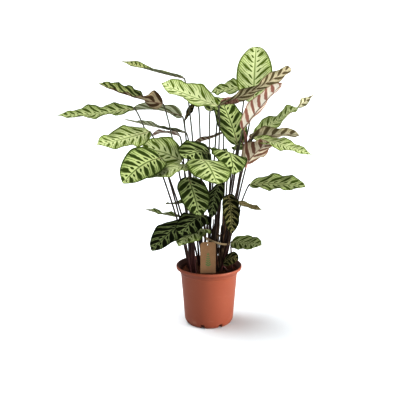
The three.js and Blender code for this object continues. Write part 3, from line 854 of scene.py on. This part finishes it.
def petiole_runs(leaf, order):
    """The petiole, and the sheath that wraps its lowest part."""
    (x, y), foot = SHOOTS[leaf.shoot]
    shape = BladeShape(leaf)
    start = shape.heading(0)
    end = shape.base - start * SEAT
    lean = Vector((end.x - x, end.y - y, 0))
    aside = Matrix.Rotation(SPIRAL_TURN * order, 3, "Z") @ lean.normalized()
    offset = lean.normalized() * 0.35 * foot + aside * 0.75 * foot
    root = Vector((x, y, SOIL_TOP - SHEATH_HEIGHT / 2)) + offset
    rise = end.z - root.z
    slant = 0.08 if lean.x < 0 else 0.14 + 0.05 * (order % 4)
    first = root + Vector((slant * lean.x, slant * lean.y, 0.28 * rise))
    second = end - start * min(0.03 * rise + 5, 15)

    def spot(share, wrap=0):
        return bezier(root, first, second, end, share), stem_radius(share) + wrap

    stalk = [spot(share) for share in shares(STEM_POINTS)]
    sheath = [spot(SHEATH_SHARE * share, lerp(0.9, 0.4, share)) for share in shares(SHEATH_POINTS)]
    return [stalk, sheath[:-1] + [spot(SHEATH_SHARE, 0.05)]]


def make_sheath(sheath, finish):
    """A dry sheath, rolled round the stalks that it once held."""
    _, base, tip, width, roll = sheath
    shape = BladeShape(SimpleNamespace(
        base=base, tip=tip, width=width, arch=4, bend=0, roll=roll, twist=14, fold=0, waves=3,
        ripple=1.5, phase=0.2, start=0, end=0, curl=2.2, point=0.2, pink=0))
    piece = grid("sheath", 8, 24)
    for vertex in piece.data.vertices:
        vertex.co = shape.point((vertex.co.y + 1) / 2, vertex.co.x) * MM
    apply_modifier(piece, "SOLIDIFY", thickness=0.8 * MM, offset=0.0)
    paint(piece, finish)
    return piece


def old_stalks(name):
    """Withered stalks, cut off or broken at the top."""
    (x, y), foot = SHOOTS[name]
    count, longest, lean = OLD_STALKS[name]
    draw = random.Random(SEED + foot + count)
    runs = []
    for _ in range(count):
        turn = draw.uniform(0, tau)
        away = foot * draw.uniform(0.2, 1.1)
        length = longest * draw.uniform(0.4, 1)
        aside = Vector((cos(turn), sin(turn), 0))
        root = Vector((x, y, SOIL_TOP - 3)) + aside * away
        top = root + aside * 0.12 * length + Vector((lean * length, 0, length))
        bow = Vector((draw.uniform(-1, 1), draw.uniform(-1, 1), 0)) * 0.06 * length
        thick = draw.uniform(1.7, 2.7)
        runs.append([(root.lerp(top, share) + bow * sin(pi * share),
                      thick * (1 - 0.35 * share - 0.3 * (share == 1)))
                     for share in shares(STALK_POINTS)])
    return runs


def make_shoot(name, fresh, dry):
    (x, y), foot = SHOOTS[name]
    runs = []
    for order, leaf in enumerate(LEAVES):
        if leaf.shoot == name:
            runs += petiole_runs(leaf, order)
    runs.append([((x, y, height), share * foot) for height, share in (
        (SOIL_TOP - STUB_DEPTH + SEAT, 0.9), (SOIL_TOP, 0.9), (SOIL_TOP + 5, 0.75),
        (SOIL_TOP + 10, 0.5), (SOIL_TOP + SHEATH_HEIGHT, 0.2))])
    piece = tubes("petioles_" + name, runs, 3)
    paint(piece, fresh)
    withered = [make_sheath(sheath, dry) for sheath in OLD_SHEATHS if sheath[0] == name]
    if name in OLD_STALKS:
        stalks = tubes("old_stalks", old_stalks(name), 2)
        paint(stalks, dry)
        withered.append(stalks)
    piece = join([piece] + withered, "petioles_" + name)
    dress(piece, "petiole", 50, "shoot_" + name)


petiole, dry_sheath = petiole_finish(), sheath_finish()
for name in SHOOTS:
    make_shoot(name, petiole, dry_sheath)


# Pot.

def wall_radius(height):
    """Outer radius of the pot's wall."""
    return lerp(FOOT_RADIUS, WALL_TOP_RADIUS, height / (POT_HEIGHT - LIP_HEIGHT))


def lathe(name, profile, sides):
    """A closed turned body: a circle, extruded from ring to ring of (radius, height)."""
    radius, height = profile[0]
    piece = primitive(ops.mesh.primitive_circle_add, name, vertices=sides, radius=radius * MM,
                      location=(0, 0, height * MM))
    settle(piece)
    mode("EDIT")
    ops.mesh.select_mode(type="EDGE")
    ops.mesh.select_all(action="SELECT")
    for wider, higher in profile[1:]:
        move = {"value": (0, 0, (higher - height) * MM)}
        ops.mesh.extrude_region_move(TRANSFORM_OT_translate=move)
        grow = wider / radius
        ops.transform.resize(value=(grow, grow, 1), center_override=(0, 0, higher * MM))
        radius, height = wider, higher
    ops.mesh.edge_face_add()
    ops.mesh.select_all(action="DESELECT")
    mode("OBJECT")
    for edge in piece.data.edges:
        edge.select = max(edge.vertices) < sides
    mode("EDIT")
    ops.mesh.edge_face_add()
    mode("OBJECT")
    edit_mesh(piece, ops.mesh.normals_make_consistent, inside=False)
    return piece


def make_pot():
    lip = POT_HEIGHT - LIP_HEIGHT
    collar = lip - COLLAR_HEIGHT
    outside = [
        (FOOT_RADIUS - 7, 0), (FOOT_RADIUS - 5, 2), (wall_radius(10) - 0.8, 10),
        *((wall_radius(height), height) for height in (14, 40, 110, collar)),
        (wall_radius(collar) + COLLAR_STEP, collar + COLLAR_STEP),
        (wall_radius(lip) + COLLAR_STEP, lip),
    ]
    rim = [
        (RIM_RADIUS - 0.8, lip), (RIM_RADIUS, lip + 1.2), (RIM_RADIUS, POT_HEIGHT - 2),
        (RIM_RADIUS - 1.2, POT_HEIGHT - 0.5), (RIM_RADIUS - 3, POT_HEIGHT),
        (RIM_RADIUS - 5, POT_HEIGHT - 0.6), (RIM_RADIUS - 8, POT_HEIGHT - 5),
    ]
    inside = [
        (wall_radius(lip) + COLLAR_STEP - WALL, POT_HEIGHT - 12),
        (wall_radius(collar) + COLLAR_STEP - WALL, collar + 4),
        (wall_radius(collar) - WALL, collar + 1),
        (wall_radius(16) - WALL, 16), (wall_radius(10) - WALL - 1.5, 9),
        (FOOT_RADIUS - 11, WALL + 0.6),
    ]
    pot = lathe("pot_shell", outside + rim + inside, POT_SIDES)
    apply_modifier(pot, "BEVEL", width=0.8 * MM, segments=3, limit_method="ANGLE",
                   angle_limit=radians(24))
    cutters = []
    for index in range(NOTCHES):
        turn = tau * (index + NOTCH_TURN) / NOTCHES
        cutter = primitive(ops.mesh.primitive_cube_add, "notch", size=1)
        cutter.scale = Vector((2 * NOTCH_DEPTH, NOTCH_WIDTH, 2 * NOTCH_HEIGHT)) * MM
        cutter.location = Vector((cos(turn), sin(turn), 0)) * (FOOT_RADIUS - 1) * MM
        cutter.rotation_euler = (0, 0, turn)
        settle(cutter)
        cutters.append(cutter)
    cutter = join(cutters, "notches")
    apply_modifier(cutter, "BEVEL", width=1.2 * MM, segments=2)
    cut(pot, cutter)
    paint(pot, pot_finish())
    dress(pot, "pot", 30, "pot")


make_pot()


# Soil.

# Mounds of the soil: middle, rise and spread.
MOUNDS = (((0, 0), 7, 36), ((62, -54), 6, 12))


def soil_surface(x, y):
    """Height of the soil, with lumps that the solids leave out."""
    height = SOIL_TOP + 1.2 * sin(x / 9) * cos(y / 11)
    for middle, rise, spread in MOUNDS:
        away = ((x - middle[0]) ** 2 + (y - middle[1]) ** 2) / (2 * spread ** 2)
        height += rise * exp(-away)
    lump = noise.noise(Vector((x, y, 3.1)) / 11) * 2.2
    crumb = noise.noise(Vector((x, y, 7.7)) / 3.6) * 1.5
    return height + lump + crumb


def make_soil(finish):
    edge = wall_radius(SOIL_TOP - SOIL_EDGE) - WALL - SEAT
    profile = [(edge - 9, SOIL_BOTTOM), (edge - 1, SOIL_TOP - 12), (edge, SOIL_TOP - 3)]
    for ring in range(SOIL_RINGS):
        profile.append((edge * (1 - (ring + 0.6) / (SOIL_RINGS + 0.6)), SOIL_TOP))
    soil = lathe("soil_bed", profile, SOIL_SIDES)
    for vertex in soil.data.vertices:
        if vertex.co.z > (SOIL_TOP - 1) * MM:
            x, y = vertex.co.x / MM, vertex.co.y / MM
            vertex.co.z = soil_surface(x, y) * MM
    paint(soil, finish)
    dress(soil, "soil", 60, "soil")
    return edge


def make_crumbs(edge, finish):
    """Crumbs and bark chips on the soil."""
    draw = random.Random(SEED)
    model = primitive(ops.mesh.primitive_ico_sphere_add, "crumb", subdivisions=1, radius=1)
    crumbs = []
    for index in range(CRUMBS):
        away = edge * sqrt(draw.random()) * 0.97
        turn = draw.uniform(0, tau)
        x, y = away * cos(turn), away * sin(turn)
        size = draw.uniform(0.9, 2.4) if index % 9 else draw.uniform(2.4, 4.2)
        flat = draw.uniform(0.35, 0.9)
        crumb = model.copy()
        crumb.data = model.data.copy()
        for vertex in crumb.data.vertices:
            vertex.co *= draw.uniform(0.75, 1.25)
        crumb.scale = Vector((size, size * draw.uniform(0.5, 1), size * flat)) * MM
        crumb.rotation_euler = (draw.uniform(-0.5, 0.5), draw.uniform(-0.5, 0.5), draw.uniform(0, 6))
        crumb.location = Vector((x, y, soil_surface(x, y) + 0.3 * size * flat)) * MM
        bpy.context.collection.objects.link(crumb)
        crumbs.append(crumb)
    bpy.data.objects.remove(model)
    piece = join(crumbs, "soil_crumbs")
    settle(piece)
    paint(piece, finish)
    dress(piece, "soil", 0)


soil_colour = soil_finish()
make_crumbs(make_soil(soil_colour), soil_colour)


# Tag. Across and down are measured on the card, from the middle of its upper edge.

TAG_CURL_DOWN = 3.0
TAG_CURL_ACROSS = 0.8
SPRIG_TOP = 34
SPRIG_BOTTOM = 84
SPRIG_PAIRS = 6
SPRIG_TURN = 0.95
INK = 0.06


def tag_place(across, down, out=0.0):
    """Point in the middle of the card, or out of it to the front."""
    curl = TAG_CURL_DOWN * (down / TAG_HEIGHT) ** 2 + TAG_CURL_ACROSS * (across / (TAG_WIDTH / 2)) ** 2
    return Vector((
        TAG_TOP[0] + across,
        TAG_TOP[1] - down * sin(TAG_LEAN) - out * cos(TAG_LEAN) - curl,
        TAG_TOP[2] - down * cos(TAG_LEAN) + out * sin(TAG_LEAN),
    ))


def make_tag():
    card = grid("tag_card", 16, 32)
    half = TAG_WIDTH / 2
    for vertex in card.data.vertices:
        down = (1 - vertex.co.y) / 2 * TAG_HEIGHT
        widest = half - max(TAG_CLIP - down, 0)
        vertex.co = tag_place(clamp(vertex.co.x * half, -widest, widest), down) * MM
    edit_mesh(card, ops.mesh.remove_doubles, threshold=0.01 * MM)
    apply_modifier(card, "SOLIDIFY", thickness=TAG_THICKNESS * MM, offset=0.0)
    punch = primitive(ops.mesh.primitive_cylinder_add, "punch", vertices=32,
                      radius=TAG_HOLE * MM, depth=12 * MM, location=tag_place(0, TAG_HOLE_DOWN) * MM,
                      rotation=(pi / 2 - TAG_LEAN, 0, 0))
    settle(punch)
    cut(card, punch)
    paint(card, card_finish())
    dress(card, "tag", 40, "tag")


def ink_leaf(across, down, length, width, turn):
    """A small leaf printed on the card, its stalk end at the place given."""
    piece = primitive(ops.mesh.primitive_circle_add, "ink_leaf", vertices=20, radius=1,
                      fill_type="NGON")
    for vertex in piece.data.vertices:
        ahead = (vertex.co.y + 1) / 2
        aside = vertex.co.x * (1 - 0.35 * vertex.co.y) * width / 2
        x = across + ahead * length * sin(turn) + aside * cos(turn)
        y = down - ahead * length * cos(turn) + aside * sin(turn)
        vertex.co = tag_place(x, y, TAG_THICKNESS / 2 + INK) * MM
    return piece


def make_sprig():
    """A plain sprig printed up the card."""
    prints = []
    for index in range(SPRIG_PAIRS):
        share = index / (SPRIG_PAIRS - 1)
        down = lerp(SPRIG_BOTTOM - 10, SPRIG_TOP + 6, share)
        size = lerp(11, 6, share)
        for turn in (-SPRIG_TURN, SPRIG_TURN):
            prints.append(ink_leaf(0.3 * sin(down / 9), down, size, 0.36 * size, turn))
    prints.append(ink_leaf(0, SPRIG_TOP + 5, 7, 2.6, 0))
    prints.append(ink_leaf(0, SPRIG_BOTTOM, SPRIG_BOTTOM - SPRIG_TOP - 4, 0.7, 0))
    piece = join(prints, "tag_sprig")
    edit_mesh(piece, ops.mesh.normals_make_consistent, inside=False)
    apply_modifier(piece, "SOLIDIFY", thickness=INK * MM, offset=0.0)
    paint(piece, ink_finish())
    dress(piece, "tag", 0)


make_tag()
make_sprig()


# Jute tie: two turns round the stems, a knot and a loop through the tag's hole.

STRAND_OFFSET = 0.6
STRAND_RADIUS = 0.58


def tie_place(share, lift):
    turn = tau * share
    return Vector(TIE_CENTRE) + Vector((TIE_HALF_X * cos(turn), TIE_HALF_Y * sin(turn),
                                        lift - TIE_DROP * cos(turn)))


def rounded_path(points, steps):
    """A smooth curve through the points."""
    ends = [points[0] * 2 - points[1], *points, points[-1] * 2 - points[-2]]
    path = []
    for index in range(len(points) - 1):
        a, b, c, d = ends[index:index + 4]
        for step in range(steps):
            t = step / steps
            path.append(0.5 * (2 * b + (c - a) * t + (2 * a - 5 * b + 4 * c - d) * t * t
                               + (3 * b - a - 3 * c + d) * t ** 3))
    path.append(points[-1])
    return path


def twisted(path, radius, pitch, closed):
    """Strands twisted round a path, as runs for tubes."""
    runs = [[] for _ in range(STRANDS)]
    travelled = 0.0
    normal = UP.copy()
    length = sum((b - a).length for a, b in zip(path, path[1:]))
    turns = max(round(length / pitch), 1) if closed else length / pitch
    for index, place in enumerate(path):
        before = path[max(index - 1, 0)]
        after = path[min(index + 1, len(path) - 1)]
        travelled += (place - before).length
        forward = (after - before).normalized()
        normal = (normal - forward * normal.dot(forward)).normalized()
        other = forward.cross(normal)
        for strand in range(STRANDS):
            turn = tau * (turns * travelled / length + strand / STRANDS)
            offset = normal * cos(turn) + other * sin(turn)
            runs[strand].append((place + offset * radius * STRAND_OFFSET, radius * STRAND_RADIUS))
    return runs


def make_tie(finish):
    apart = CORD_RADIUS + SEAT / 2
    runs = []
    for lift in (-apart, apart):
        path = [tie_place(share, lift) for share in shares(TIE_POINTS)]
        runs += twisted(path, CORD_RADIUS, 9, True)
    knot = tie_place(KNOT_AT, 0)
    hole = tag_place(0, TAG_HOLE_DOWN)
    loop = rounded_path([
        knot, knot + Vector((-4, -10, 2)), hole + Vector((-1, -2, 11)),
        hole + Vector((-0.5, -5, 5)), hole + Vector((0, 0, 0.9)), hole + Vector((0.5, 5, 4)),
        knot + Vector((4, -9, -2)), knot], 14)
    runs += twisted(loop, LOOP_RADIUS, 7, False)
    wound = []
    for share in shares(KNOT_POINTS):
        turn = tau * share
        spot = Vector((sin(turn) + 2 * sin(2 * turn), -sin(3 * turn),
                       cos(turn) - 2 * cos(2 * turn)))
        wound.append((knot + spot * 1.15, LOOP_RADIUS))
    runs.append(wound)
    draw = random.Random(SEED + 1)
    for _ in range(STRAY_FIBRES):
        start = tie_place(draw.random(), draw.choice((-apart, apart)))
        reach = Vector([draw.uniform(-1, 1) for _ in range(3)]).normalized() * draw.uniform(2, 4.5)
        sag = Vector([draw.uniform(-1, 1) for _ in range(3)])
        runs.append([(start, 0.14), (start + reach * 0.5 + sag, 0.11), (start + reach, 0.06)])
    tie = tubes("tie_cord", runs, 1)
    paint(tie, finish)
    dress(tie, "jute", 80, "jute_tie")


make_tie(jute_finish())


# Floor, light and camera. Suns: azimuth, where 0 is the front and 90 the right-hand side,
# elevation, strength and softness.

SUNS = {
    "key": (72, 6.5, 5.8, 30),
    "top": (-95, 70, 3.8, 52),
    "fill": (20, 9, 2.0, 50),
}
FLOOR_SIZE = 60
FLOOR_DEPTH = 0.0004
HORIZON = (0.14, 0.08)
LENS = 64.4
SENSOR = 36
CAMERA_PLACE = (-0.029, -2.2, 0.89)
CAMERA_TILT = 77.5

floor = primitive(ops.mesh.primitive_plane_add, "floor", size=FLOOR_SIZE,
                  location=(0, 0, -FLOOR_DEPTH))
settle(floor)
white = Finish("floor_white", 0.1, {"Roughness": 0.9})
tint = white.mix(white.cloud(3.0), (0.74, 0.77, 0.79, 1), (0.72, 0.75, 0.77, 1))
paint(floor, white.feed({"Base Color": tint}))

# White near the horizon, and dimmer overhead, so that the shapes keep their shade.
world = bpy.data.worlds.new("studio")
world.use_nodes = True
sky = Nodes(world.node_tree)
height = sky.split(sky.node("TexCoord", output="Generated"))[2]
glow = sky.step(height, *HORIZON) * (1.0 - SKY_LIGHT) + SKY_LIGHT
background = world.node_tree.nodes["Background"]
background.inputs["Color"].default_value = (1, 1, 1, 1)
world.node_tree.links.new(glow.socket, background.inputs["Strength"])
bpy.context.scene.world = world

for name, (azimuth, elevation, strength, softness) in SUNS.items():
    lamp = bpy.data.lights.new(name, "SUN")
    lamp.energy = strength
    lamp.angle = radians(softness)
    linked(name, lamp).rotation_euler = (radians(90 - elevation), 0, radians(azimuth))

lens = bpy.data.cameras.new("camera")
lens.lens = LENS
lens.sensor_width = SENSOR
camera = linked("camera", lens)
camera.location = CAMERA_PLACE
camera.rotation_euler = (radians(CAMERA_TILT), 0, 0)
scene = bpy.context.scene
scene.camera = camera
scene.view_settings.view_transform = "Standard"
scene.view_settings.exposure = VIEW_EXPOSURE
scene.view_settings.gamma = VIEW_GAMMA
